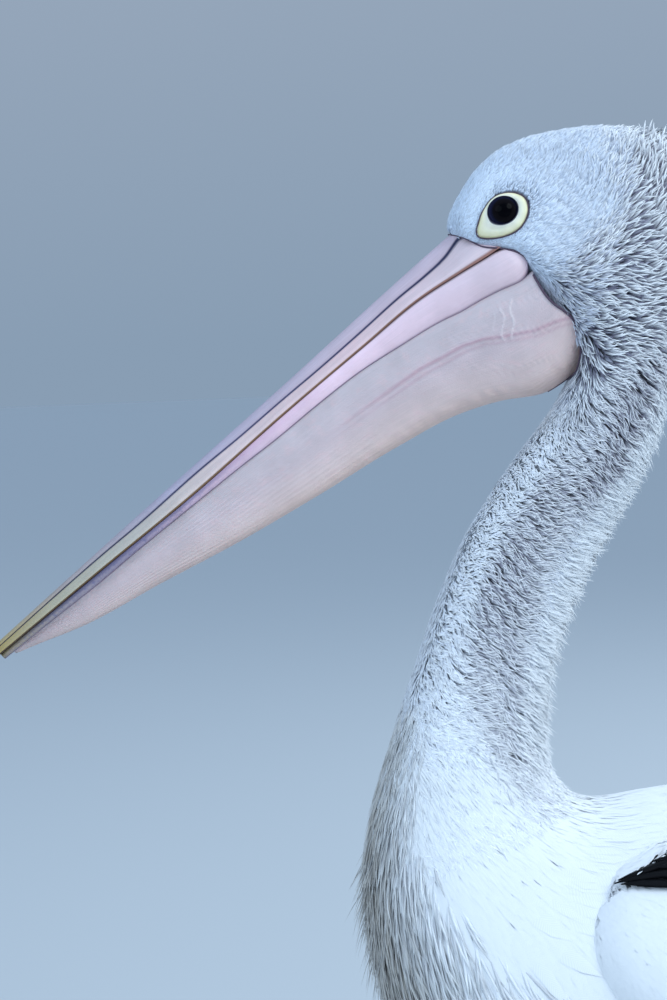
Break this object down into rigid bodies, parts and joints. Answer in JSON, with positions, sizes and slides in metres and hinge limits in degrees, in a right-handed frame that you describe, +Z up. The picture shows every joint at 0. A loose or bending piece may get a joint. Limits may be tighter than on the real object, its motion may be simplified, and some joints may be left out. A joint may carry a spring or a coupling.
{
  "type": "pelican",
  "caption": "Standing pelican, a still life-size model: long bill with a skin pouch, bent neck, white body, folded dark wings, short tail, webbed feet flat on the floor.",
  "frame": {"origin": "on the floor, under the centre of the bird's bounding box", "axes": "+Z up; +Y towards the tail, so the bird faces -Y; +X is the bird's left"},
  "size_m": [0.2972, 0.9897, 0.8882],
  "materials": {
    "white": "soft white contour feathers",
    "grey": "grey-white woolly neck feathers",
    "black": "black flight feathers with a low sheen",
    "bill_pink": "satin pink horn",
    "ramus_pink": "satin pink-lilac horn",
    "pouch_skin": "fine wrinkled pale pink skin",
    "nail_gold": "satin golden horn",
    "ring_yellow": "smooth pale yellow bare skin",
    "eye_dark": "wet near-black eye",
    "leg_grey": "scaled slate-blue skin",
    "claw_horn": "dark satin horn"
  },
  "bodies": {
    "root": {"bill_lower_left": "ramus_pink", "bill_lower_right": "ramus_pink", "bill_nail": "nail_gold", "bill_upper": "bill_pink", "claw_hind_left": "claw_horn", "claw_hind_right": "claw_horn", "claw_inner_left": "claw_horn", "claw_inner_right": "claw_horn", "claw_middle_left": "claw_horn", "claw_middle_right": "claw_horn", "claw_outer_left": "claw_horn", "claw_outer_right": "claw_horn", "eye_left": "eye_dark", "eye_right": "eye_dark", "eye_ring_left": "ring_yellow", "eye_ring_right": "ring_yellow", "foot_left": "leg_grey", "foot_right": "leg_grey", "head": "white", "neck_lower": "white", "neck_middle": "grey", "neck_upper": "grey", "pouch": "pouch_skin", "primaries_left": "black", "primaries_right": "black", "rump": "white", "scapulars_left": "black", "scapulars_right": "black", "secondaries_left": "black", "secondaries_right": "black", "shank_left": "leg_grey", "shank_right": "leg_grey", "tail": "black", "thigh_left": "white", "thigh_right": "white", "trunk": "white", "wing_coverts_left": "white", "wing_coverts_right": "white"}
  },
  "joints": []
}
